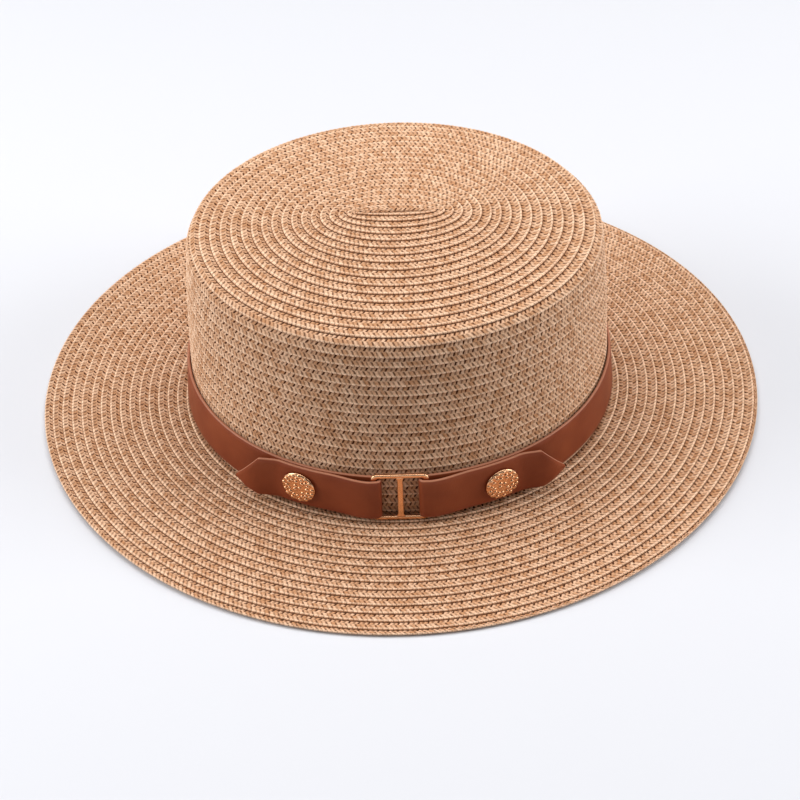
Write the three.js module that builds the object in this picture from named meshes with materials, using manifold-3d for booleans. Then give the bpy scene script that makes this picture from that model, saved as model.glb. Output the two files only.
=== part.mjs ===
// Sewn straw hat with a flat oval brim, a leather strap round the crown, a slide buckle and two rivets.
// Millimetres, +Z up. The brim lies on z = 0, the long axis is X and the buckle faces -Y.
import * as THREE from "three";
import { mergeVertices } from "three/addons/utils/BufferGeometryUtils.js";
import Module from "manifold-3d";

const wasm = await Module();
wasm.setup();

// Straw walls
const STRAW_THICKNESS = 2;
const STRAW_COLUMNS = 80;
const SIDE_LIFT = 2;
const LIFT_START = 0.25;

// Crown, outer face from the open base up to the middle of the tip
const TIP_HEIGHT = 104.4;
const CROWN_SECTIONS = [
  { height: 103.6, halfLength: 32, halfWidth: 24 },
  { height: 102.6, halfLength: 64, halfWidth: 54 },
  { height: 101.6, halfLength: 88.6, halfWidth: 76.7 },
  { height: 101.0, halfLength: 91.0, halfWidth: 79.0 },
  { height: 99.6, halfLength: 93.0, halfWidth: 80.9 },
  { height: 97.4, halfLength: 94.4, halfWidth: 82.0 },
  { height: 94.5, halfLength: 95.0, halfWidth: 82.7 },
  { height: 68.4, halfLength: 97.2, halfWidth: 85.8 },
  { height: 30.4, halfLength: 98.9, halfWidth: 90.0 },
  { height: 5.4, halfLength: 101.0, halfWidth: 90.8 },
];

// Brim, once round its section: top, edge, underside, then the collar turned up inside the crown
const BRIM_SECTIONS = [
  { height: 5.0, halfLength: 98.6, halfWidth: 88.4, lift: 0 },
  { height: 4.3, halfLength: 122, halfWidth: 110.7, lift: 0.15 },
  { height: 3.2, halfLength: 147, halfWidth: 134.4, lift: 0.55 },
  { height: 2.2, halfLength: 169, halfWidth: 155.3, lift: 0.96 },
  { height: 1.7, halfLength: 171.4, halfWidth: 157.6, lift: 1 },
  { height: 1.0, halfLength: 172, halfWidth: 158.2, lift: 1 },
  { height: 0.3, halfLength: 171.4, halfWidth: 157.6, lift: 1 },
  { height: 0, halfLength: 170.4, halfWidth: 156.6, lift: 1 },
  { height: 0, halfLength: 164, halfWidth: 150.5, lift: 0.9 },
  { height: 1.2, halfLength: 147, halfWidth: 134.4, lift: 0.55 },
  { height: 2.3, halfLength: 122, halfWidth: 110.7, lift: 0.15 },
  { height: 3.0, halfLength: 97.4, halfWidth: 87.2, lift: 0 },
  { height: 4.4, halfLength: 96.9, halfWidth: 86.7, lift: 0 },
  { height: 12.5, halfLength: 96.3, halfWidth: 86.5, lift: 0 },
  { height: 12.5, halfLength: 98.0, halfWidth: 88.2, lift: 0 },
];

// Strap, one strip whose two ends fold round the buckle's side bars and lie back as pointed flaps
const STRAP_BOTTOM = 8.2;
const STRAP_TOP = 30.4;
const BUCKLE_TURN = THREE.MathUtils.degToRad(-1);
const LEATHER = 1.4;
const STRAP_GAP = 0.4;
const LAYER_GAP = 0.3;
const STRAP_STEP = THREE.MathUtils.degToRad(4);
const FOLD_STEPS = 8;
const FLAP_STEPS = 9;
const FLAP_SETTLED_X = 32;
const FLAP_LEAD = 0.35;
const FLAP_SPRING = 5.5;
const FLAP_SPRING_X = 52;
const FLAP_SPRUNG_X = 66;
const FLAP_SHOULDER_X = 60.5;
const FLAP_POINT_X = 69;
const FLAP_POINT_HEIGHT = 15.5;
const FLAP_POINT_WIDTH = 0.8;

// Buckle, a slide frame with a centre bar
const BUCKLE_WIDTH = 26.4;
const BUCKLE_HEIGHT = 27.4;
const BUCKLE_DEPTH = 1.6;
const BUCKLE_CORNER = 3;
const BUCKLE_BEVEL = 0.25;
const BAR_HEIGHT = 2;
const SIDE_BAR_INNER = 10.2;
const CENTRE_BAR_WIDTH = 2.6;
const WINDOW_CORNER = 0.5;

// Rivets
const RIVET_X = 44.1;
const RIVET_COLUMNS = 28;
const RIVET_TOP = 1.7;
const RIVET_POST_RADIUS = 2;
const RIVET_POST_LENGTH = 3.2;
const RIVET_HOLE_RADIUS = 2.4;
const RIVET_SECTIONS = [
  { height: 1.65, radius: 4 },
  { height: 1.5, radius: 7.4 },
  { height: 1.2, radius: 8.0 },
  { height: 0.7, radius: 8.25 },
  { height: 0.2, radius: 8.1 },
  { height: 0, radius: 7.9 },
  { height: 0, radius: RIVET_POST_RADIUS },
  { height: -RIVET_POST_LENGTH, radius: RIVET_POST_RADIUS },
];
const RIVET_HEIGHTS = { left: 19.3, right: 18.2 };

// Finishes
const STRAW = { color: "#d6ab83", roughness: 0.75 };
const TANNED_LEATHER = { color: "#7a4129", roughness: 0.5 };
const GOLD = { color: "#dba574", roughness: 0.25, metalness: 1 };

function ring(section, columns, liftAt) {
  const points = [];
  for (let i = 0; i < columns; i++) {
    const turn = (2 * Math.PI * i) / columns;
    const x = section.halfLength * Math.cos(turn);
    const y = section.halfWidth * Math.sin(turn);
    points.push([x, y, section.height + liftAt(turn) * (section.lift ?? 0)]);
  }
  return points;
}

function geometryOf(points, triangles) {
  const geometry = new THREE.BufferGeometry();
  geometry.setAttribute("position", new THREE.Float32BufferAttribute(points.flat(), 3));
  geometry.setIndex(triangles.flat());
  return geometry;
}

// Joins rings one after another, from a top pole outwards and down, or once round a closed section.
function skin(rings, topPole, endPole) {
  const columns = rings[0].length;
  const points = rings.flat();
  const triangles = [];
  const joined = topPole ? rings.length - 1 : rings.length;
  for (let r = 0; r < joined; r++) {
    const here = r * columns;
    const next = ((r + 1) % rings.length) * columns;
    for (let i = 0; i < columns; i++) {
      const j = (i + 1) % columns;
      triangles.push([here + i, next + i, next + j]);
      triangles.push([here + i, next + j, here + j]);
    }
  }
  if (topPole) {
    const top = points.push(topPole) - 1;
    const end = points.push(endPole) - 1;
    const last = (rings.length - 1) * columns;
    for (let i = 0; i < columns; i++) {
      const j = (i + 1) % columns;
      triangles.push([top, i, j]);
      triangles.push([end, last + j, last + i]);
    }
  }
  return geometryOf(points, triangles);
}

function insetSections(sections, depth) {
  const meanRadius = (s) => (s.halfLength + s.halfWidth) / 2;
  return sections.map((section, i) => {
    const above = sections[Math.max(i - 1, 0)];
    const below = sections[Math.min(i + 1, sections.length - 1)];
    const out = new THREE.Vector2(above.height - below.height, meanRadius(below) - meanRadius(above));
    out.normalize();
    return {
      height: section.height - out.y * depth,
      halfLength: section.halfLength - out.x * depth,
      halfWidth: section.halfWidth - out.x * depth,
    };
  });
}

function makeCrown() {
  const level = () => 0;
  const outer = CROWN_SECTIONS.map((s) => ring(s, STRAW_COLUMNS, level));
  const inner = insetSections(CROWN_SECTIONS, STRAW_THICKNESS).map((s) => ring(s, STRAW_COLUMNS, level));
  const rings = outer.concat(inner.reverse());
  return skin(rings, [0, 0, TIP_HEIGHT], [0, 0, TIP_HEIGHT - STRAW_THICKNESS]);
}

function makeBrim() {
  const liftAt = (turn) => {
    const share = Math.max(0, (Math.abs(Math.cos(turn)) - LIFT_START) / (1 - LIFT_START));
    return SIDE_LIFT * share ** 1.5;
  };
  return skin(BRIM_SECTIONS.map((s) => ring(s, STRAW_COLUMNS, liftAt)), null, null);
}

function crownOval(height) {
  const below = CROWN_SECTIONS.findIndex((s) => s.height <= height);
  const low = CROWN_SECTIONS[below];
  const high = CROWN_SECTIONS[below - 1];
  const share = (height - low.height) / (high.height - low.height);
  return {
    halfLength: THREE.MathUtils.lerp(low.halfLength, high.halfLength, share),
    halfWidth: THREE.MathUtils.lerp(low.halfWidth, high.halfWidth, share),
  };
}

// The oval at the strap's height, carried on in a straight line between its bottom and top edges.
function strapOval(height) {
  const low = crownOval(STRAP_BOTTOM);
  const high = crownOval(STRAP_TOP);
  const share = (height - STRAP_BOTTOM) / (STRAP_TOP - STRAP_BOTTOM);
  return {
    halfLength: THREE.MathUtils.lerp(low.halfLength, high.halfLength, share),
    halfWidth: THREE.MathUtils.lerp(low.halfWidth, high.halfWidth, share),
  };
}

// A place beside the crown: turn is counted from the buckle, out is off the straw, along is towards +X.
function beside(height, turn, out, along) {
  const oval = strapOval(height);
  const across = Math.sin(turn + BUCKLE_TURN);
  const back = -Math.cos(turn + BUCKLE_TURN);
  const normal = new THREE.Vector2(across / oval.halfLength, back / oval.halfWidth);
  normal.normalize();
  const x = oval.halfLength * across + out * normal.x - along * normal.y;
  const y = oval.halfWidth * back + out * normal.y + along * normal.x;
  return [x, y, height];
}

const strapMiddle = (STRAP_BOTTOM + STRAP_TOP) / 2;
const turnAtX = (x) => Math.asin(x / strapOval(strapMiddle).halfLength);
const bandMiddle = STRAP_GAP + LEATHER / 2;
const flapMiddle = STRAP_GAP + LEATHER + LAYER_GAP + LEATHER / 2;
const barMiddle = STRAP_GAP + LEATHER + LAYER_GAP + BUCKLE_DEPTH / 2;
const foldRadius = barMiddle - bandMiddle;
const foldX = SIDE_BAR_INNER + 0.3;

// Stations of one flap from its fold to its point, on the +X side.
function flapStations() {
  const stations = [];
  const add = (x, low, high) => {
    const settle = THREE.MathUtils.smoothstep(x, foldX + 3, FLAP_SETTLED_X);
    const lead = FLAP_LEAD * THREE.MathUtils.smoothstep(x, foldX, foldX + 3);
    const spring = FLAP_SPRING * THREE.MathUtils.smoothstep(x, FLAP_SPRING_X, FLAP_SPRUNG_X);
    const middle = THREE.MathUtils.lerp(barMiddle + foldRadius + lead, flapMiddle, settle) + spring;
    const turn = turnAtX(x);
    const face = { turn, out: middle + LEATHER / 2, along: 0 };
    const back = { turn, out: middle - LEATHER / 2, along: 0 };
    stations.push({ face, back, low, high });
  };
  for (let i = 0; i <= 14; i++) {
    add(foldX + ((FLAP_SHOULDER_X - foldX) * i) / 14, STRAP_BOTTOM, STRAP_TOP);
  }
  for (let i = 1; i <= FLAP_STEPS; i++) {
    const share = i / FLAP_STEPS;
    const low = THREE.MathUtils.lerp(STRAP_BOTTOM, FLAP_POINT_HEIGHT - FLAP_POINT_WIDTH / 2, share);
    const high = THREE.MathUtils.lerp(STRAP_TOP, FLAP_POINT_HEIGHT + FLAP_POINT_WIDTH / 2, share);
    add(FLAP_SHOULDER_X + (FLAP_POINT_X - FLAP_SHOULDER_X) * share, low, high);
  }
  return stations;
}

// Stations of the fold round a side bar, from the flap in front of it to the band behind it.
function foldStations() {
  const stations = [];
  for (let i = 1; i < FOLD_STEPS; i++) {
    const bend = (Math.PI * i) / FOLD_STEPS;
    const place = (radius) => ({
      turn: turnAtX(foldX),
      out: barMiddle + radius * Math.cos(bend),
      along: -radius * Math.sin(bend),
    });
    const face = place(foldRadius + LEATHER / 2);
    const back = place(foldRadius - LEATHER / 2);
    stations.push({ face, back, low: STRAP_BOTTOM, high: STRAP_TOP });
  }
  return stations;
}

function mirrored(stations) {
  const flip = (p) => ({ turn: -p.turn, out: p.out, along: -p.along });
  return stations.map((s) => ({ ...s, face: flip(s.face), back: flip(s.back) }));
}

function bandStations() {
  const stations = [];
  const start = turnAtX(foldX);
  const count = Math.round((2 * Math.PI - 2 * start) / STRAP_STEP);
  for (let i = 0; i <= count; i++) {
    const turn = start + ((2 * Math.PI - 2 * start) * i) / count;
    const face = { turn, out: bandMiddle - LEATHER / 2, along: 0 };
    const back = { turn, out: bandMiddle + LEATHER / 2, along: 0 };
    stations.push({ face, back, low: STRAP_BOTTOM, high: STRAP_TOP });
  }
  return stations;
}

function makeStrapStrip() {
  const flap = flapStations();
  const fold = foldStations();
  const stations = [
    ...flap.slice().reverse(),
    ...fold,
    ...bandStations(),
    ...mirrored(fold).reverse(),
    ...mirrored(flap),
  ];
  const points = [];
  const triangles = [];
  for (const s of stations) {
    points.push(beside(s.low, s.face.turn, s.face.out, s.face.along));
    points.push(beside(s.high, s.face.turn, s.face.out, s.face.along));
    points.push(beside(s.high, s.back.turn, s.back.out, s.back.along));
    points.push(beside(s.low, s.back.turn, s.back.out, s.back.along));
  }
  for (let s = 0; s + 1 < stations.length; s++) {
    for (let i = 0; i < 4; i++) {
      const j = (i + 1) % 4;
      triangles.push([4 * s + i, 4 * s + j, 4 * s + 4 + j]);
      triangles.push([4 * s + i, 4 * s + 4 + j, 4 * s + 4 + i]);
    }
  }
  const last = points.length - 4;
  triangles.push([0, 2, 1], [0, 3, 2], [last, last + 1, last + 2], [last, last + 2, last + 3]);
  return geometryOf(points, triangles);
}

function frontLean() {
  const rise = STRAP_TOP - STRAP_BOTTOM;
  return Math.atan((strapOval(STRAP_BOTTOM).halfWidth - strapOval(STRAP_TOP).halfWidth) / rise);
}

// Stands a piece drawn in the XY plane against the crown, its +Z pointing away from the straw.
function standAgainstCrown(geometry, x, height, out) {
  const turn = turnAtX(x);
  const oval = strapOval(height);
  const across = Math.sin(turn + BUCKLE_TURN) / oval.halfLength;
  const facing = Math.atan2(across, Math.cos(turn + BUCKLE_TURN) / oval.halfWidth);
  geometry.rotateX(Math.PI / 2 - frontLean());
  geometry.rotateZ(facing);
  const place = beside(height, turn, out, 0);
  geometry.translate(place[0], place[1], place[2]);
  return geometry;
}

function roundedOutline(path, left, bottom, right, top, corner) {
  path.moveTo(left + corner, bottom);
  path.lineTo(right - corner, bottom);
  path.absarc(right - corner, bottom + corner, corner, -Math.PI / 2, 0);
  path.lineTo(right, top - corner);
  path.absarc(right - corner, top - corner, corner, 0, Math.PI / 2);
  path.lineTo(left + corner, top);
  path.absarc(left + corner, top - corner, corner, Math.PI / 2, Math.PI);
  path.lineTo(left, bottom + corner);
  path.absarc(left + corner, bottom + corner, corner, Math.PI, 1.5 * Math.PI);
  return path;
}

function makeBuckle() {
  const halfWidth = BUCKLE_WIDTH / 2;
  const halfHeight = BUCKLE_HEIGHT / 2;
  const windowHalf = halfHeight - BAR_HEIGHT;
  const barHalf = CENTRE_BAR_WIDTH / 2;
  const shape = roundedOutline(
    new THREE.Shape(), -halfWidth, -halfHeight, halfWidth, halfHeight, BUCKLE_CORNER,
  );
  const right = roundedOutline(
    new THREE.Path(), barHalf, -windowHalf, SIDE_BAR_INNER, windowHalf, WINDOW_CORNER,
  );
  const left = roundedOutline(
    new THREE.Path(), -SIDE_BAR_INNER, -windowHalf, -barHalf, windowHalf, WINDOW_CORNER,
  );
  shape.holes.push(right, left);
  const frame = new THREE.ExtrudeGeometry(shape, {
    depth: BUCKLE_DEPTH - 2 * BUCKLE_BEVEL,
    bevelThickness: BUCKLE_BEVEL,
    bevelSize: BUCKLE_BEVEL,
    bevelOffset: -BUCKLE_BEVEL,
    bevelSegments: 1,
    curveSegments: 5,
  });
  frame.translate(0, 0, BUCKLE_BEVEL - BUCKLE_DEPTH / 2);
  const oval = strapOval(strapMiddle);
  const setBack = oval.halfWidth * (1 - Math.cos(turnAtX(foldX)));
  return standAgainstCrown(frame, 0, strapMiddle, barMiddle - setBack);
}

function makeRivet(side, height) {
  const level = () => 0;
  const rings = RIVET_SECTIONS.map((s) =>
    ring({ height: s.height, halfLength: s.radius, halfWidth: s.radius }, RIVET_COLUMNS, level),
  );
  const rivet = skin(rings, [0, 0, RIVET_TOP], [0, 0, -RIVET_POST_LENGTH]);
  return standAgainstCrown(rivet, side * RIVET_X, height, flapMiddle + LEATHER / 2 + LAYER_GAP);
}

function rivetHole(side, height) {
  const hole = new THREE.CylinderGeometry(RIVET_HOLE_RADIUS, RIVET_HOLE_RADIUS, 12, RIVET_COLUMNS);
  hole.rotateX(Math.PI / 2);
  return standAgainstCrown(hole, side * RIVET_X, height, flapMiddle);
}

// Closes the seams of a geometry, so that every edge is shared by two faces.
function sewn(geometry) {
  geometry.deleteAttribute("normal");
  geometry.deleteAttribute("uv");
  return mergeVertices(geometry, 1e-4);
}

function toSolid(geometry) {
  const closed = sewn(geometry);
  return new wasm.Manifold(new wasm.Mesh({
    numProp: 3,
    vertProperties: new Float32Array(closed.attributes.position.array),
    triVerts: new Uint32Array(closed.index.array),
  }));
}

function makeStrap() {
  const right = toSolid(rivetHole(1, RIVET_HEIGHTS.right));
  const left = toSolid(rivetHole(-1, RIVET_HEIGHTS.left));
  const mesh = toSolid(makeStrapStrip()).subtract(right).subtract(left).getMesh();
  const geometry = new THREE.BufferGeometry();
  geometry.setAttribute("position", new THREE.Float32BufferAttribute(mesh.vertProperties, 3));
  geometry.setIndex(new THREE.Uint32BufferAttribute(mesh.triVerts, 1));
  return geometry;
}

const hat = new THREE.Group();
hat.name = "straw_hat";

function addPiece(name, geometry, material) {
  const mesh = new THREE.Mesh(sewn(geometry), new THREE.MeshStandardMaterial(material));
  mesh.name = name;
  hat.add(mesh);
}

addPiece("crown", makeCrown(), STRAW);
addPiece("brim", makeBrim(), STRAW);
addPiece("hat_strap", makeStrap(), TANNED_LEATHER);
addPiece("buckle", makeBuckle(), GOLD);
addPiece("rivet_left", makeRivet(-1, RIVET_HEIGHTS.left), GOLD);
addPiece("rivet_right", makeRivet(1, RIVET_HEIGHTS.right), GOLD);

export default hat;
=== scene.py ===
import math

import bpy
import numpy as np
from mathutils import Matrix, Vector


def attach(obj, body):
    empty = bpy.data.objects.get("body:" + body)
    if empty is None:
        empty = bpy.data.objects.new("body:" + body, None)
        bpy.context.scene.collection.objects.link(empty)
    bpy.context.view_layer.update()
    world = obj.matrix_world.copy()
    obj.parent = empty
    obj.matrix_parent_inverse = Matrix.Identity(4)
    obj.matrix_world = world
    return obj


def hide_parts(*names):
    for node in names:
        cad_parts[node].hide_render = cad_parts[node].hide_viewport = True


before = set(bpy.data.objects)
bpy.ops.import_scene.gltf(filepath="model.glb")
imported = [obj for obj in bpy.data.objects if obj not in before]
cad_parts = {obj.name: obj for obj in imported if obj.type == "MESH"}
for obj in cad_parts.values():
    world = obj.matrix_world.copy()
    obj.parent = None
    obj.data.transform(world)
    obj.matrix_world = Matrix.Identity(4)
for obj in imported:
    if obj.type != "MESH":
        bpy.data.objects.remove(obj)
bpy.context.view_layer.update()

# Straw hat: sewn straw braid, a leather strap round the crown, a slide buckle and two rivets.
# Lengths are in millimetres up to the meshes, which are in metres. +X is the long axis, -Y the front.

MM = 0.001

# Straw: core of the spiral on the tip, rows from there outwards
CORE_HALF_LENGTH = 16.0
CORE_BACK = 6.0
TIP_ROWS = 16.5
TIP_SPREAD = 1.1
TIP_DOME = 2.8
SIDE_PITCH = 5.05
BRIM_PITCH = 4.5
# Plait: length of one strand's repeat, how far a strand strays from it, relief shares
PLAIT_PERIOD = 2.15
PLAIT_STRAY = 0.22
PLAIT = {"Relief": 1.0, "Unevenness": 0.9}
PLAIT_SEED = 3
# Two tiers of slots: shares of a row, lean in repeats, width of the straw's grain in millimetres
TIER_START = 0.05
TIER_WIDTH = 0.42
SLOT_LEAN = 0.45
STRAW_GRAIN = 0.43
SURFACE_LEVEL = 0.45
SIDE_LIFT = 2.0
LIFT_START = 0.25
# half length, half width, height
CROWN_PROFILE = (
    (88.6, 76.7, 101.6),
    (91.0, 79.0, 101.0),
    (93.0, 80.9, 99.6),
    (94.4, 82.0, 97.4),
    (95.0, 82.7, 94.5),
    (97.2, 85.8, 68.4),
    (98.9, 90.0, 30.4),
    (101.0, 90.8, 5.4),
)
# half length, half width, height, share of the side lift
BRIM_PROFILE = (
    (98.0, 88.2, 12.3, 0.0),
    (98.4, 88.3, 7.4, 0.0),
    (98.9, 88.7, 5.6, 0.0),
    (100.6, 90.3, 4.95, 0.0),
    (122.0, 110.7, 4.3, 0.15),
    (147.0, 134.4, 3.2, 0.55),
    (169.0, 155.3, 2.2, 0.96),
    (172.0, 158.2, 1.9, 1.0),
)
# across the row, height off the wall, place of the slots along the repeat, depth of the slots
BRAID_SECTION = (
    (-0.30, -0.90, 0.0, 0.0),
    (0.06, -0.66, 0.0, 0.0),
    (0.15, -0.40, 0.0, 0.40),
    (0.30, -0.12, 0.0, 0.60),
    (0.50, 0.10, 0.25, 0.12),
    (0.68, 0.20, 0.5, 0.45),
    (0.82, 0.36, 0.5, 0.18),
    (0.94, 0.70, 0.0, 0.30),
    (1.04, 0.36, 0.0, 0.24),
    (1.05, -0.35, 0.0, 0.0),
    (0.50, -0.75, 0.0, 0.0),
    (-0.28, -1.40, 0.0, 0.0),
)

# Strap
STRAP_BOTTOM = 8.2
STRAP_TOP = 30.4
BUCKLE_TURN = math.radians(-1)
LEATHER = 1.4
LEATHER_CLOUD = 16.7
LEATHER_PORE = 0.714
STRAP_GAP = 0.4
LAYER_GAP = 0.3
FLAP_SHOULDER_X = 60.5
FLAP_POINT_X = 69.0
FLAP_POINT_HEIGHT = 15.5
FLAP_SPRING = 5.5
FLAP_SPRING_X = 52.0
FLAP_SPRUNG_X = 66.0
FLAP_SETTLED_X = 32.0
FLAP_LEAD = 0.35

# Buckle and rivets
BUCKLE_HALF = (13.2, 13.7)
BUCKLE_CORNER = 3.0
BUCKLE_DEPTH = 1.6
WINDOW_HALF = (10.2, 11.7)
WINDOW_CORNER = 1.0
CENTRE_BAR_HALF = 1.3
RIVET_X = 44.1
RIVET_HEIGHTS = {-1: 19.3, 1: 18.2}
PEBBLES = {"Spacing": 1.9 * MM, "Pebble radius": 1.1 * MM}
PEBBLE_SEED = 5


def colour(hex_code):
    """Linear colour of an sRGB hex code."""
    parts = [int(hex_code[i:i + 2], 16) / 255 for i in (1, 3, 5)]
    return [p / 12.92 if p <= 0.04045 else ((p + 0.055) / 1.055) ** 2.4 for p in parts] + [1.0]


def add(tree, kind, inputs=None, **settings):
    """A node with its settings. Each input is a value or an output to link."""
    made = tree.nodes.new(kind)
    for key, value in settings.items():
        setattr(made, key, value)
    for key, value in (inputs or {}).items():
        if isinstance(value, bpy.types.NodeSocket):
            tree.links.new(value, made.inputs[key])
        else:
            made.inputs[key].default_value = value
    return made


def mesh_object(name, points, faces, smooth=True, attributes=None):
    """A linked object from points in millimetres."""
    mesh = bpy.data.meshes.new(name)
    mesh.from_pydata((np.asarray(points, float) * MM).tolist(), [], [list(f) for f in faces])
    mesh.validate()
    mesh.polygons.foreach_set("use_smooth", [smooth] * len(mesh.polygons))
    for key, values in (attributes or {}).items():
        values = np.asarray(values, float)
        kind = "FLOAT_VECTOR" if values.ndim == 2 else "FLOAT"
        layer = mesh.attributes.new(key, kind, "POINT")
        layer.data.foreach_set("vector" if values.ndim == 2 else "value", values.ravel())
    made = bpy.data.objects.new(name, mesh)
    bpy.context.collection.objects.link(made)
    return made


def material(name):
    made = bpy.data.materials.new(name)
    made.use_nodes = True
    return made, made.node_tree, made.node_tree.nodes["Principled BSDF"]


def straw_material():
    """Matt plaited paper straw: warm pale strands of uneven tone, painted shade in deep brown slots between them and
    in a line under each row's edge, and a painted highlight on the outer ridge.
    """
    made, tree, shader = material("plaited_straw")
    math_node, range_node = "ShaderNodeMath", "ShaderNodeMapRange"
    soft = {"interpolation_type": "SMOOTHSTEP"}
    strand = add(tree, "ShaderNodeAttribute", attribute_name="strand").outputs["Fac"]
    across = add(tree, "ShaderNodeAttribute", attribute_name="across").outputs["Fac"]

    # Two tiers of slots lie across a row, and they lean opposite ways
    tiers = add(tree, math_node, {0: across, 1: 1 / TIER_WIDTH, 2: -TIER_START / TIER_WIDTH},
                operation="MULTIPLY_ADD").outputs[0]
    tier = add(tree, math_node, {0: tiers, 1: 1.0}, operation="GREATER_THAN").outputs[0]
    share = add(tree, math_node, {0: tiers, 1: tier}, operation="SUBTRACT").outputs[0]
    inside = add(tree, math_node, {0: share, 1: 0.5}, operation="SUBTRACT").outputs[0]
    lean_by = add(tree, math_node, {0: tier, 1: -2 * SLOT_LEAN, 2: SLOT_LEAN}, operation="MULTIPLY_ADD").outputs[0]
    lean = add(tree, math_node, {0: inside, 1: lean_by}, operation="MULTIPLY").outputs[0]
    shifted = add(tree, math_node, {0: tier, 1: 0.5, 2: strand}, operation="MULTIPLY_ADD").outputs[0]
    phase = add(tree, math_node, {0: shifted, 1: lean}, operation="ADD").outputs[0]

    # Painted shade: every other gap is shaded deeper, as if wider open, and the outer tier more lightly, as if
    # shallower
    angle = add(tree, math_node, {0: phase, 1: math.pi}, operation="MULTIPLY").outputs[0]
    wave = add(tree, math_node, {0: angle}, operation="COSINE").outputs[0]
    every_other = add(tree, math_node, {0: wave, 1: 0.22, 2: 0.78}, operation="MULTIPLY_ADD").outputs[0]
    by_tier = add(tree, math_node, {0: tier, 1: -0.2, 2: 1.0}, operation="MULTIPLY_ADD").outputs[0]
    strength = add(tree, math_node, {0: every_other, 1: by_tier}, operation="MULTIPLY").outputs[0]
    apart = add(tree, math_node, {0: phase, 1: 0.5}, operation="PINGPONG").outputs[0]
    gap = add(tree, range_node, {"Value": apart, "From Min": 0.11, "From Max": 0.29, "To Min": 1.0, "To Max": 0.0},
              **soft).outputs["Result"]
    between = add(tree, math_node, {0: gap, 1: strength}, operation="MULTIPLY").outputs[0]
    off_middle = add(tree, math_node, {0: inside}, operation="ABSOLUTE").outputs[0]
    open_part = add(tree, range_node, {"Value": off_middle, "From Min": 0.32, "From Max": 0.54,
                                       "To Min": 1.0, "To Max": 0.0}, **soft).outputs["Result"]
    tier_slot_shade = add(tree, math_node, {0: between, 1: open_part}, operation="MULTIPLY").outputs[0]

    # Painted shadow in a line under the row before, and painted shade in short gaps between the loops of the outer
    # ridge
    under_edge_shadow = add(tree, range_node, {"Value": across, "From Min": 0.03, "From Max": 0.13,
                                        "To Min": 0.75, "To Max": 0.0}, **soft).outputs["Result"]
    ridge = add(tree, range_node, {"Value": across, "From Min": 0.80, "From Max": 0.90,
                                   "To Min": 0.0, "To Max": 1.0}, **soft).outputs["Result"]
    loop_place = add(tree, math_node, {0: strand, 1: 0.08}, operation="ADD").outputs[0]
    loop_apart = add(tree, math_node, {0: loop_place, 1: 0.5}, operation="PINGPONG").outputs[0]
    loop_gap_shade = add(tree, range_node, {"Value": loop_apart, "From Min": 0.04, "From Max": 0.18,
                                      "To Min": 0.5, "To Max": 0.0}, **soft).outputs["Result"]
    loops = add(tree, math_node, {0: loop_gap_shade, 1: ridge}, operation="MULTIPLY").outputs[0]
    slot_and_under_edge_shade = add(tree, math_node, {0: tier_slot_shade, 1: under_edge_shadow}, operation="MAXIMUM").outputs[0]
    slot_shade_and_depth = add(tree, math_node, {0: slot_and_under_edge_shade, 1: loops}, operation="MAXIMUM").outputs[0]

    # Tone of each strand, with a fine grain along it
    strand_number = add(tree, math_node, {0: phase}, operation="FLOOR").outputs[0]
    number = add(tree, math_node, {0: tier, 1: 0.37, 2: strand_number}, operation="MULTIPLY_ADD").outputs[0]
    luck = add(tree, "ShaderNodeTexWhiteNoise", {"W": number}, noise_dimensions="1D").outputs["Value"]
    grain_at = add(tree, "ShaderNodeCombineXYZ", {"X": strand, "Y": across}).outputs[0]
    grain = add(tree, "ShaderNodeTexNoise", {"Vector": grain_at, "Scale": PLAIT_PERIOD / STRAW_GRAIN,
                                             "Detail": 3.0}).outputs["Fac"]
    tone = add(tree, "ShaderNodeMix", {"Factor": 0.55, 2: luck, 3: grain}).outputs[0]
    # Painted highlight: the outer ridge is lifted towards the pale end of the ramp, as if lit from above
    lit_tone = add(tree, math_node, {0: ridge, 1: 0.35, 2: tone}, operation="MULTIPLY_ADD").outputs[0]
    ramp = add(tree, "ShaderNodeValToRGB", {"Fac": lit_tone})
    ramp.color_ramp.elements[0].position = 0.2
    ramp.color_ramp.elements[1].position = 0.95
    ramp.color_ramp.elements[0].color = colour("#BA8359")
    ramp.color_ramp.elements[1].color = colour("#F4CDAC")
    # Painted shade: the slots, the line under the row before and the gaps between the ridge's loops are mixed towards
    # deep brown
    toned = add(tree, "ShaderNodeMix", {"Factor": slot_shade_and_depth, 6: ramp.outputs["Color"], 7: colour("#4E260C")},
                data_type="RGBA").outputs[2]
    tree.links.new(toned, shader.inputs["Base Color"])
    height = add(tree, math_node, {0: grain, 1: slot_shade_and_depth}, operation="SUBTRACT").outputs[0]
    bump = add(tree, "ShaderNodeBump", {"Height": height, "Strength": 0.7, "Distance": 0.4 * MM})
    tree.links.new(bump.outputs["Normal"], shader.inputs["Normal"])
    shader.inputs["Roughness"].default_value = 0.6
    shader.inputs["Specular IOR Level"].default_value = 0.12
    return made


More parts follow.
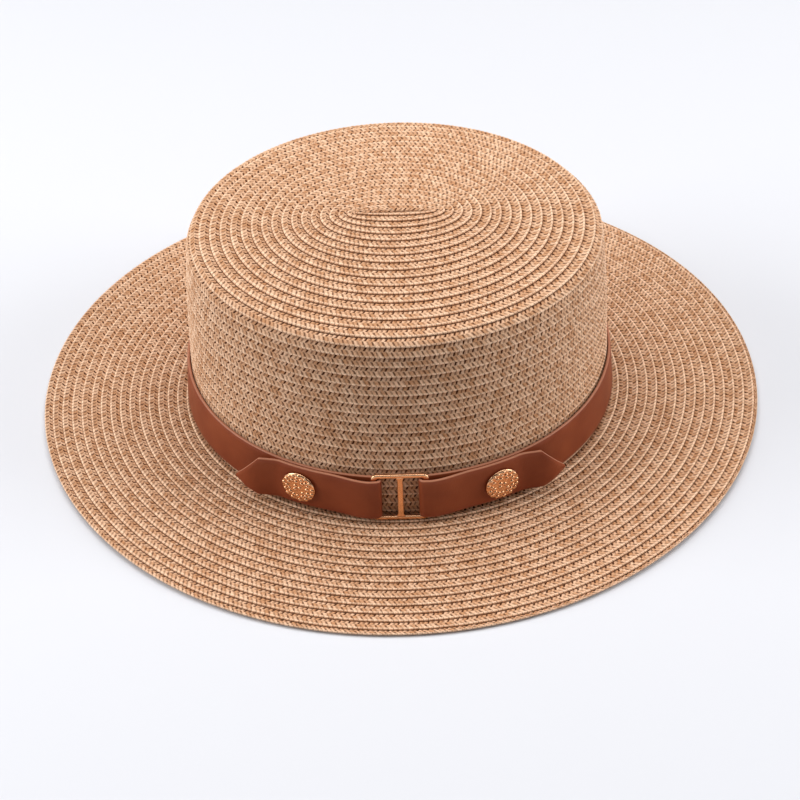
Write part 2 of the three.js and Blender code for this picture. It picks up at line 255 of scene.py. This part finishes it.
def leather_material():
    """Smooth cognac leather: satin face with a faint grain, and a painted highlight along the cut edges."""
    made, tree, shader = material("cognac_leather")
    place = add(tree, "ShaderNodeTexCoord").outputs["Object"]
    edge = add(tree, "ShaderNodeAttribute", attribute_name="edge").outputs["Fac"]
    cloud = add(tree, "ShaderNodeTexNoise", {"Vector": place, "Scale": 1 / (LEATHER_CLOUD * MM),
                                             "Detail": 3.0}).outputs["Fac"]
    ramp = add(tree, "ShaderNodeValToRGB", {"Fac": cloud})
    ramp.color_ramp.elements[0].position = 0.3
    ramp.color_ramp.elements[1].position = 0.7
    ramp.color_ramp.elements[0].color = colour("#7A3419")
    ramp.color_ramp.elements[1].color = colour("#8C4324")
    # Painted highlight: the rounded cut edges are mixed towards pale pink
    toned = add(tree, "ShaderNodeMix", {"Factor": edge, 6: ramp.outputs["Color"], 7: colour("#B07458")},
                data_type="RGBA").outputs[2]
    tree.links.new(toned, shader.inputs["Base Color"])
    pores = add(tree, "ShaderNodeTexVoronoi", {"Vector": place, "Scale": 1 / (LEATHER_PORE * MM)}).outputs["Distance"]
    bump = add(tree, "ShaderNodeBump", {"Height": pores, "Strength": 0.15, "Distance": 0.2 * MM})
    tree.links.new(bump.outputs["Normal"], shader.inputs["Normal"])
    shader.inputs["Roughness"].default_value = 0.45
    shader.inputs["Specular IOR Level"].default_value = 0.3
    return made


def gold_material():
    """Polished rose-gold plating: warm, bright reflections with a fine softness."""
    made, tree, shader = material("rose_gold_plating")
    shader.inputs["Base Color"].default_value = colour("#E8B68C")
    shader.inputs["Metallic"].default_value = 1.0
    shader.inputs["Roughness"].default_value = 0.22
    return made


def floor_material():
    """Matt white studio paper."""
    made, tree, shader = material("white_paper_floor")
    shader.inputs["Base Color"].default_value = colour("#D6D7DC")
    shader.inputs["Roughness"].default_value = 0.9
    return made


def profile_reach(table):
    """Length along a profile up to each of its rows."""
    columns = np.array(table)
    steps = np.hypot(np.diff((columns[:, 0] + columns[:, 1]) / 2), np.diff(columns[:, 2]))
    return np.concatenate([[0], np.cumsum(steps)])


def along_profile(table, length):
    """The table's columns at a length along it."""
    return [np.interp(length, profile_reach(table), column) for column in np.array(table).T]


def crown_place(turn, row):
    """Points of the crown's outer face: the tip from its core outwards, then over the edge and down."""
    share = np.clip(row / TIP_ROWS, 0, 1) ** TIP_SPREAD
    length, width, height = along_profile(CROWN_PROFILE, (row - TIP_ROWS) * SIDE_PITCH)
    x = (share * length + (1 - share) * CORE_HALF_LENGTH) * np.cos(turn)
    y = share * width * np.sin(turn) + (1 - share) * CORE_BACK
    return np.stack([x, y, height + TIP_DOME * (1 - share ** 2)], axis=-1)


def brim_place(turn, row):
    """Points of the brim's upper face: the collar inside the crown, then outwards to the edge."""
    length, width, height, lift = along_profile(BRIM_PROFILE, row * BRIM_PITCH)
    share = np.maximum(0, (np.abs(np.cos(turn)) - LIFT_START) / (1 - LIFT_START)) ** 1.5
    return np.stack([length * np.cos(turn), width * np.sin(turn), height + SIDE_LIFT * lift * share], axis=-1)


def normals(place, turn, row):
    """Outward unit normals of a straw surface."""
    across = place(turn, row + 0.25) - place(turn, np.maximum(row - 0.25, 0))
    along = place(turn + 0.01, row) - place(turn - 0.01, row)
    out = np.cross(across, along)
    return out / np.linalg.norm(out, axis=-1, keepdims=True)


def braid(name, place, rows, start, end):
    """One closed length of braid, sewn in a spiral from row start to row end of a surface of that many rows."""
    dense = np.linspace(start, end, int((end - start) * 720) + 2)
    path = place(2 * np.pi * dense, np.clip(dense + 0.5, 0, rows))
    reach = np.concatenate([[0], np.cumsum(np.linalg.norm(np.diff(path, axis=0), axis=1))])
    count = int(reach[-1] / (PLAIT_PERIOD / 2))
    stray = np.random.default_rng(PLAIT_SEED).uniform(-1, 1, count) * PLAIT_STRAY * PLAIT_PERIOD / 2
    stray[[0, -1]] = 0
    row = np.interp(np.linspace(0, reach[-1], count) + stray, reach, dense)
    low = np.clip(row, 0, rows)
    high = np.clip(row + 1, 0, rows)
    section = np.array(BRAID_SECTION)
    size = len(section)
    turn = np.repeat(2 * np.pi * row[:, None], size, axis=1)
    at = np.clip(low[:, None] + section[:, 0] * (high - low)[:, None], 0, rows + 0.04)
    out = normals(place, turn, np.clip(at, 0.05, rows))
    points = place(turn, at) + out * (section[:, 1] - SURFACE_LEVEL)[:, None]
    faces = []
    for i in range(count - 1):
        a, b = i * size, (i + 1) * size
        faces += [(a + j, a + (j + 1) % size, b + (j + 1) % size, b + j) for j in range(size)]
    faces.append(list(range(size))[::-1])
    faces.append([(count - 1) * size + j for j in range(size)])
    strand = np.repeat(np.arange(count)[:, None] / 2 + round(100 * (start + 1)), size, axis=1)
    return mesh_object(name, points.reshape(-1, 3), faces, attributes={
        "strand": strand.ravel(),
        "across": np.tile(section[:, 0], count),
        "slot_place": np.tile(section[:, 2], count),
        "slot_depth": np.tile(section[:, 3], count),
        "out": out.reshape(-1, 3),
    })


def plait_tree():
    """Raises the strands of a braid and sinks the slots between them."""
    tree = bpy.data.node_groups.new("plait_relief", "GeometryNodeTree")
    face = tree.interface
    face.new_socket("Braid", in_out="INPUT", socket_type="NodeSocketGeometry")
    for name, value in PLAIT.items():
        face.new_socket(name, in_out="INPUT", socket_type="NodeSocketFloat").default_value = value
    face.new_socket("Seed", in_out="INPUT", socket_type="NodeSocketInt").default_value = PLAIT_SEED
    face.new_socket("Straw", in_out="INPUT", socket_type="NodeSocketMaterial")
    face.new_socket("Plaited", in_out="OUTPUT", socket_type="NodeSocketGeometry")
    given = add(tree, "NodeGroupInput").outputs
    strand, across, slot_place, slot_depth = [
        add(tree, "GeometryNodeInputNamedAttribute", {"Name": name}, data_type="FLOAT").outputs[0]
        for name in ("strand", "across", "slot_place", "slot_depth")]
    out = add(tree, "GeometryNodeInputNamedAttribute", {"Name": "out"}, data_type="FLOAT_VECTOR").outputs[0]
    phase = add(tree, "ShaderNodeMath", {0: strand, 1: slot_place}, operation="ADD").outputs[0]
    angle = add(tree, "ShaderNodeMath", {0: phase, 1: 2 * math.pi}, operation="MULTIPLY").outputs[0]
    wave = add(tree, "ShaderNodeMath", {0: angle}, operation="COSINE").outputs[0]
    dip = add(tree, "ShaderNodeMath", {0: wave, 1: -0.5, 2: -0.5}, operation="MULTIPLY_ADD").outputs[0]
    noise_at = add(tree, "ShaderNodeCombineXYZ", {"X": strand, "Y": across}).outputs[0]
    noise = add(tree, "ShaderNodeTexNoise", {"Vector": noise_at, "W": given["Seed"], "Scale": 1.3},
                noise_dimensions="4D").outputs["Fac"]
    centred = add(tree, "ShaderNodeMath", {0: noise, 1: 0.5}, operation="SUBTRACT").outputs[0]
    uneven = add(tree, "ShaderNodeMath", {0: centred, 1: given["Unevenness"], 2: given["Relief"]},
                 operation="MULTIPLY_ADD").outputs[0]
    depth = add(tree, "ShaderNodeMath", {0: slot_depth, 1: uneven}, operation="MULTIPLY").outputs[0]
    moved_by = add(tree, "ShaderNodeMath", {0: dip, 1: depth}, operation="MULTIPLY").outputs[0]
    metres = add(tree, "ShaderNodeMath", {0: moved_by, 1: MM}, operation="MULTIPLY").outputs[0]
    offset = add(tree, "ShaderNodeVectorMath", {0: out, "Scale": metres}, operation="SCALE").outputs[0]
    moved = add(tree, "GeometryNodeSetPosition", {"Geometry": given["Braid"], "Offset": offset}).outputs[0]
    real = add(tree, "GeometryNodeRealizeInstances", {0: moved}).outputs[0]
    covered = add(tree, "GeometryNodeSetMaterial", {"Geometry": real, "Material": given["Straw"]}).outputs[0]
    add(tree, "NodeGroupOutput", {0: covered})
    return tree


def grown(made, tree, values):
    """Runs a tree on an object with named values and keeps the result as its plain mesh."""
    modifier = made.modifiers.new(tree.name, "NODES")
    modifier.node_group = tree
    for item in tree.interface.items_tree:
        if item.in_out == "INPUT" and item.name in values:
            modifier[item.identifier] = values[item.name]
    made.update_tag()
    depsgraph = bpy.context.evaluated_depsgraph_get()
    depsgraph.update()
    mesh = bpy.data.meshes.new_from_object(made.evaluated_get(depsgraph), depsgraph=depsgraph)
    made.modifiers.clear()
    made.data = mesh
    mesh.name = made.name
    return made


def crown_oval(height):
    table = np.array(CROWN_PROFILE)[::-1]
    return np.interp(height, table[:, 2], table[:, 0]), np.interp(height, table[:, 2], table[:, 1])


def strap_oval(height):
    low, high = crown_oval(STRAP_BOTTOM), crown_oval(STRAP_TOP)
    share = (height - STRAP_BOTTOM) / (STRAP_TOP - STRAP_BOTTOM)
    return [low[i] + (high[i] - low[i]) * share for i in (0, 1)]


def beside(height, turn, out, along=0.0):
    """A place beside the crown: turn is counted from the buckle, out is off the straw, along towards +X."""
    length, width = strap_oval(height)
    across, back = math.sin(turn + BUCKLE_TURN), -math.cos(turn + BUCKLE_TURN)
    normal = np.array([across / length, back / width])
    normal /= np.linalg.norm(normal)
    x = length * across + out * normal[0] - along * normal[1]
    y = width * back + out * normal[1] + along * normal[0]
    return [x, y, height]


STRAP_MIDDLE = (STRAP_BOTTOM + STRAP_TOP) / 2
BAND_OUT = STRAP_GAP + LEATHER / 2
FLAP_OUT = STRAP_GAP + LEATHER + LAYER_GAP + LEATHER / 2
BAR_OUT = STRAP_GAP + LEATHER + LAYER_GAP + BUCKLE_DEPTH / 2
FOLD_RADIUS = BAR_OUT - BAND_OUT
FOLD_X = WINDOW_HALF[0] + 0.3


def turn_at(x):
    return math.asin(x / strap_oval(STRAP_MIDDLE)[0])


def smooth(value, low, high):
    share = min(max((value - low) / (high - low), 0), 1)
    return share * share * (3 - 2 * share)


def strap_stations():
    """Stations from the left flap's point through both folds to the right one: turn, out, along, lean, low, high."""
    flap = []
    straight = np.linspace(FOLD_X, FLAP_SHOULDER_X, 48)
    point = np.linspace(FLAP_SHOULDER_X, FLAP_POINT_X, 14)[1:]
    for x in (*straight, *point):
        settle = smooth(x, FOLD_X + 3, FLAP_SETTLED_X)
        lead = FLAP_LEAD * smooth(x, FOLD_X, FOLD_X + 3)
        out = (BAR_OUT + FOLD_RADIUS + lead) * (1 - settle) + FLAP_OUT * settle
        out += FLAP_SPRING * smooth(x, FLAP_SPRING_X, FLAP_SPRUNG_X)
        cut = max(0, (x - FLAP_SHOULDER_X) / (FLAP_POINT_X - FLAP_SHOULDER_X))
        low = STRAP_BOTTOM + (FLAP_POINT_HEIGHT - 0.8 - STRAP_BOTTOM) * cut
        high = STRAP_TOP + (FLAP_POINT_HEIGHT + 0.8 - STRAP_TOP) * cut
        flap.append((turn_at(x), out, 0.0, 0.0, low, high))
    fold = []
    for bend in np.linspace(0, math.pi, 18)[1:-1]:
        out = BAR_OUT + FOLD_RADIUS * math.cos(bend)
        fold.append((turn_at(FOLD_X), out, -FOLD_RADIUS * math.sin(bend), bend, STRAP_BOTTOM, STRAP_TOP))
    start = turn_at(FOLD_X)
    round_back = np.linspace(start, 2 * math.pi - start, 220)
    band = [(t, BAND_OUT, 0.0, math.pi, STRAP_BOTTOM, STRAP_TOP) for t in round_back]
    mirror = [(-t, o, -a, -b, low, high) for t, o, a, b, low, high in (fold[::-1] + flap)]
    return flap[::-1] + fold + band + mirror


# height in from the edge, share of the half thickness, 1 where the cut edge gets the painted highlight
STRAP_SECTION = (
    (0.0, 0.30, 1.0), (0.10, 0.72, 1.0), (0.45, 1.0, 0.0), (3.0, 1.06, 0.0),
)


def strap_piece(leather):
    points, edge, count = [], [], 0
    stations = strap_stations()
    for turn, out, along, bend, low, high in stations:
        loop = []
        for side in (1, -1):
            inset = min(1, (high - low) / 2 / (STRAP_SECTION[-1][0] + 0.05))
            rows = [(low + i * inset, w, e) for i, w, e in STRAP_SECTION]
            rows += [(high - i * inset, w, e) for i, w, e in STRAP_SECTION[::-1]]
            loop += [(h, side * w, e) for h, w, e in (rows if side > 0 else rows[::-1])]
        count = len(loop)
        for height, share, shows in loop:
            reach = share * LEATHER / 2
            points.append(beside(height, turn, out + reach * math.cos(bend), along - reach * math.sin(bend)))
            edge.append(shows)
    faces = []
    for s in range(len(stations) - 1):
        a, b = s * count, (s + 1) * count
        faces += [(a + j, a + (j + 1) % count, b + (j + 1) % count, b + j) for j in range(count)]
    faces.append(list(range(count))[::-1])
    faces.append([(len(stations) - 1) * count + j for j in range(count)])
    made = mesh_object("leather_strap", points, faces, attributes={"edge": edge})
    made.data.materials.append(leather)
    return made


def against_crown(points, x, height, out):
    """Stands points drawn with +Z away from the straw against the crown."""
    turn = turn_at(x)
    low, high = strap_oval(STRAP_BOTTOM), strap_oval(STRAP_TOP)
    lean = math.atan((low[1] - high[1]) / (STRAP_TOP - STRAP_BOTTOM))
    length, width = strap_oval(height)
    facing = math.atan2(math.sin(turn + BUCKLE_TURN) / length, math.cos(turn + BUCKLE_TURN) / width)
    placed = Matrix.Translation(beside(height, turn, out)) @ Matrix.Rotation(facing, 4, "Z")
    placed = placed @ Matrix.Rotation(math.pi / 2 - lean, 4, "X")
    return [list(placed @ Vector(p)) for p in points]


def rounded_loop(half, corner, steps=8):
    loop = []
    for quarter, (sx, sy) in enumerate(((1, 1), (-1, 1), (-1, -1), (1, -1))):
        centre = np.array([sx * (half[0] - corner), sy * (half[1] - corner)])
        for angle in np.linspace(0, math.pi / 2, steps):
            turn = angle + quarter * math.pi / 2
            loop.append(centre + corner * np.array([math.cos(turn), math.sin(turn)]))
    return np.array(loop)


def bar_section(steps=14, power=0.55):
    angles = np.linspace(0, 2 * math.pi, steps, endpoint=False)
    soft = lambda v: np.sign(v) * np.abs(v) ** power
    return np.stack([soft(np.cos(angles)), soft(np.sin(angles))], axis=1)


def buckle_piece(gold):
    """The slide frame and its centre bar, all bars with softly rounded edges."""
    outer, inner = rounded_loop(BUCKLE_HALF, BUCKLE_CORNER), rounded_loop(WINDOW_HALF, WINDOW_CORNER)
    section = bar_section()
    size = len(section)
    points, faces = [], []
    for o, i in zip(outer, inner):
        middle, half = (o + i) / 2, (o - i) / 2
        points += [[*(middle + half * w), h * BUCKLE_DEPTH / 2] for w, h in section]
    loops = len(outer)
    for k in range(loops):
        a, b = k * size, (k + 1) % loops * size
        faces += [(a + j, b + j, b + (j + 1) % size, a + (j + 1) % size) for j in range(size)]
    first = len(points)
    reach = (BUCKLE_HALF[1] + WINDOW_HALF[1]) / 2
    stops = [-reach, -reach + 1.2, -reach + 2.4, reach - 2.4, reach - 1.2, reach]
    flares = [2.0, 1.45, 1.0, 1.0, 1.45, 2.0]
    for y, flare in zip(stops, flares):
        points += [[CENTRE_BAR_HALF * flare * w, y, h * BUCKLE_DEPTH * 0.46] for w, h in section]
    for k in range(len(stops) - 1):
        a, b = first + k * size, first + (k + 1) * size
        faces += [(a + j, a + (j + 1) % size, b + (j + 1) % size, b + j) for j in range(size)]
    faces.append([first + j for j in range(size)][::-1])
    faces.append([first + (len(stops) - 1) * size + j for j in range(size)])
    set_back = strap_oval(STRAP_MIDDLE)[1] * (1 - math.cos(turn_at(FOLD_X)))
    made = mesh_object("slide_buckle", against_crown(points, 0, STRAP_MIDDLE, BAR_OUT - set_back), faces)
    made.data.materials.append(gold)
    return made


# height off the flap, radius
RIVET_PROFILE = (
    (1.40, 3.5), (1.35, 5.5), (1.25, 7.2), (1.1, 7.7), (0.9, 8.0), (0.6, 8.2), (0.3, 8.15), (0.08, 8.0),
    (0.0, 7.8), (0.0, 2.0), (-3.2, 2.0),
)


def pebble_tree():
    """Scatters low round pebbles over a rivet's face."""
    tree = bpy.data.node_groups.new("rivet_pebbles", "GeometryNodeTree")
    face = tree.interface
    face.new_socket("Rivet", in_out="INPUT", socket_type="NodeSocketGeometry")
    for name, value in PEBBLES.items():
        face.new_socket(name, in_out="INPUT", socket_type="NodeSocketFloat").default_value = value
    face.new_socket("Seed", in_out="INPUT", socket_type="NodeSocketInt").default_value = PEBBLE_SEED
    face.new_socket("Gold", in_out="INPUT", socket_type="NodeSocketMaterial")
    face.new_socket("Pebbled", in_out="OUTPUT", socket_type="NodeSocketGeometry")
    given = add(tree, "NodeGroupInput").outputs
    dish = add(tree, "GeometryNodeInputNamedAttribute", {"Name": "dish"}, data_type="FLOAT").outputs[0]
    chosen = add(tree, "FunctionNodeCompare", {0: dish, 1: 0.5}, data_type="FLOAT",
                 operation="GREATER_THAN").outputs[0]
    spread = add(tree, "GeometryNodeDistributePointsOnFaces",
                 {"Mesh": given["Rivet"], "Selection": chosen, "Distance Min": given["Spacing"],
                  "Density Max": 4e6, "Density Factor": 1.0, "Seed": given["Seed"]}, distribute_method="POISSON")
    pebble = add(tree, "GeometryNodeMeshIcoSphere",
                 {"Radius": given["Pebble radius"], "Subdivisions": 2}).outputs[0]
    set_down = add(tree, "GeometryNodeInstanceOnPoints",
                   {"Points": spread.outputs["Points"], "Instance": pebble, "Rotation": spread.outputs["Rotation"],
                    "Scale": (1.0, 1.0, 0.45)}).outputs[0]
    joined = add(tree, "GeometryNodeJoinGeometry")
    tree.links.new(given["Rivet"], joined.inputs[0])
    tree.links.new(set_down, joined.inputs[0])
    real = add(tree, "GeometryNodeRealizeInstances", {0: joined.outputs[0]}).outputs[0]
    soft = add(tree, "GeometryNodeSetShadeSmooth", {0: real}).outputs[0]
    covered = add(tree, "GeometryNodeSetMaterial", {"Geometry": soft, "Material": given["Gold"]}).outputs[0]
    add(tree, "NodeGroupOutput", {0: covered})
    return tree


def rivet_piece(name, side, gold, tree):
    columns = 48
    angles = np.linspace(0, 2 * math.pi, columns, endpoint=False)
    points = [[r * math.cos(a), r * math.sin(a), h] for h, r in RIVET_PROFILE for a in angles]
    dish = [1.0 if i < 4 else 0.0 for i in range(len(RIVET_PROFILE)) for _ in angles]
    faces = []
    for ring in range(len(RIVET_PROFILE) - 1):
        a, b = ring * columns, (ring + 1) * columns
        faces += [(a + j, b + j, b + (j + 1) % columns, a + (j + 1) % columns) for j in range(columns)]
    top, end = len(points), len(points) + 1
    points += [[0, 0, 1.42], [0, 0, -3.2]]
    dish += [1.0, 0.0]
    last = (len(RIVET_PROFILE) - 1) * columns
    faces += [(top, j, (j + 1) % columns) for j in range(columns)]
    faces += [(end, last + (j + 1) % columns, last + j) for j in range(columns)]
    out = FLAP_OUT + LEATHER / 2 + LAYER_GAP
    placed = against_crown(points, side * RIVET_X, RIVET_HEIGHTS[side], out)
    made = mesh_object(name, placed, faces, attributes={"dish": dish})
    return grown(made, tree, {**PEBBLES, "Seed": PEBBLE_SEED, "Gold": gold})


def keep(piece, node):
    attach(piece, "root")
    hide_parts(node)


straw, leather, gold = straw_material(), leather_material(), gold_material()
relief = plait_tree()
crown_rows = TIP_ROWS + profile_reach(CROWN_PROFILE)[-1] / SIDE_PITCH
brim_rows = profile_reach(BRIM_PROFILE)[-1] / BRIM_PITCH
side_middle = (TIP_ROWS + crown_rows) / 2
# piece, node, surface, its rows, first row, last row
LENGTHS = (
    ("braid_tip", "crown", crown_place, crown_rows, -0.75, TIP_ROWS),
    ("braid_side_upper", "crown", crown_place, crown_rows, TIP_ROWS, side_middle),
    ("braid_side_lower", "crown", crown_place, crown_rows, side_middle, crown_rows - 0.12),
    ("braid_brim_inner", "brim", brim_place, brim_rows, -0.88, brim_rows * 0.58),
    ("braid_brim_outer", "brim", brim_place, brim_rows, brim_rows * 0.58, brim_rows - 0.12),
)
for name, node, place, rows, start, end in LENGTHS:
    piece = braid(name, place, rows, start, end)
    grown(piece, relief, {**PLAIT, "Seed": PLAIT_SEED, "Straw": straw})
    keep(piece, node)
keep(strap_piece(leather), "hat_strap")
keep(buckle_piece(gold), "buckle")
pebbles = pebble_tree()
keep(rivet_piece("rivet_disc_left", -1, gold, pebbles), "rivet_left")
keep(rivet_piece("rivet_disc_right", 1, gold, pebbles), "rivet_right")

# Floor, light and camera
bpy.ops.mesh.primitive_plane_add(size=6.0)
floor = bpy.context.object
floor.name = "studio_floor"
floor.data.materials.append(floor_material())

world = bpy.data.worlds.new("studio")
bpy.context.scene.world = world
world.use_nodes = True
world.node_tree.nodes["Background"].inputs["Color"].default_value = colour("#FFFFFF")
world.node_tree.nodes["Background"].inputs["Strength"].default_value = 0.12

# name, place, aim, width, height, watts (metres)
LIGHTS = (
    ("top_softbox", (0.0, 0.3, 1.5), (0, 0.02, 0.05), 1.6, 1.2, 22.5),
    ("left_softbox", (-1.3, -0.1, 0.7), (0, 0, 0.05), 0.9, 1.0, 16.0),
    ("right_softbox", (1.3, -0.1, 0.7), (0, 0, 0.05), 0.7, 1.0, 12.5),
)
for name, place, aim, width, height, watts in LIGHTS:
    lamp = bpy.data.lights.new(name, "AREA")
    lamp.shape = "RECTANGLE"
    lamp.size, lamp.size_y, lamp.energy = width, height, watts
    made = bpy.data.objects.new(name, lamp)
    made.location = place
    made.rotation_euler = (Vector(aim) - Vector(place)).to_track_quat("-Z", "Y").to_euler()
    bpy.context.collection.objects.link(made)

CAMERA_TARGET = Vector((-0.38, 0.0, -7.97)) * MM
CAMERA_DISTANCE = 1.0
CAMERA_TURN = 0.0
CAMERA_RISE = math.radians(42.94)
CAMERA_ROLL = math.radians(-2.14)
back = Vector((math.sin(CAMERA_TURN) * math.cos(CAMERA_RISE), -math.cos(CAMERA_TURN) * math.cos(CAMERA_RISE),
               math.sin(CAMERA_RISE)))
level = Vector((math.cos(CAMERA_TURN), math.sin(CAMERA_TURN), 0))
upright = back.cross(level)
right = level * math.cos(CAMERA_ROLL) + upright * math.sin(CAMERA_ROLL)
up = back.cross(right)
camera = bpy.data.objects.new("camera", bpy.data.cameras.new("camera"))
camera.data.lens = 91.9
camera.data.sensor_width = 36.0
pose = Matrix((right, up, back)).transposed().to_4x4()
pose.translation = CAMERA_TARGET + back * CAMERA_DISTANCE
camera.matrix_world = pose
bpy.context.collection.objects.link(camera)
bpy.context.scene.camera = camera
bpy.context.scene.view_settings.view_transform = "Standard"
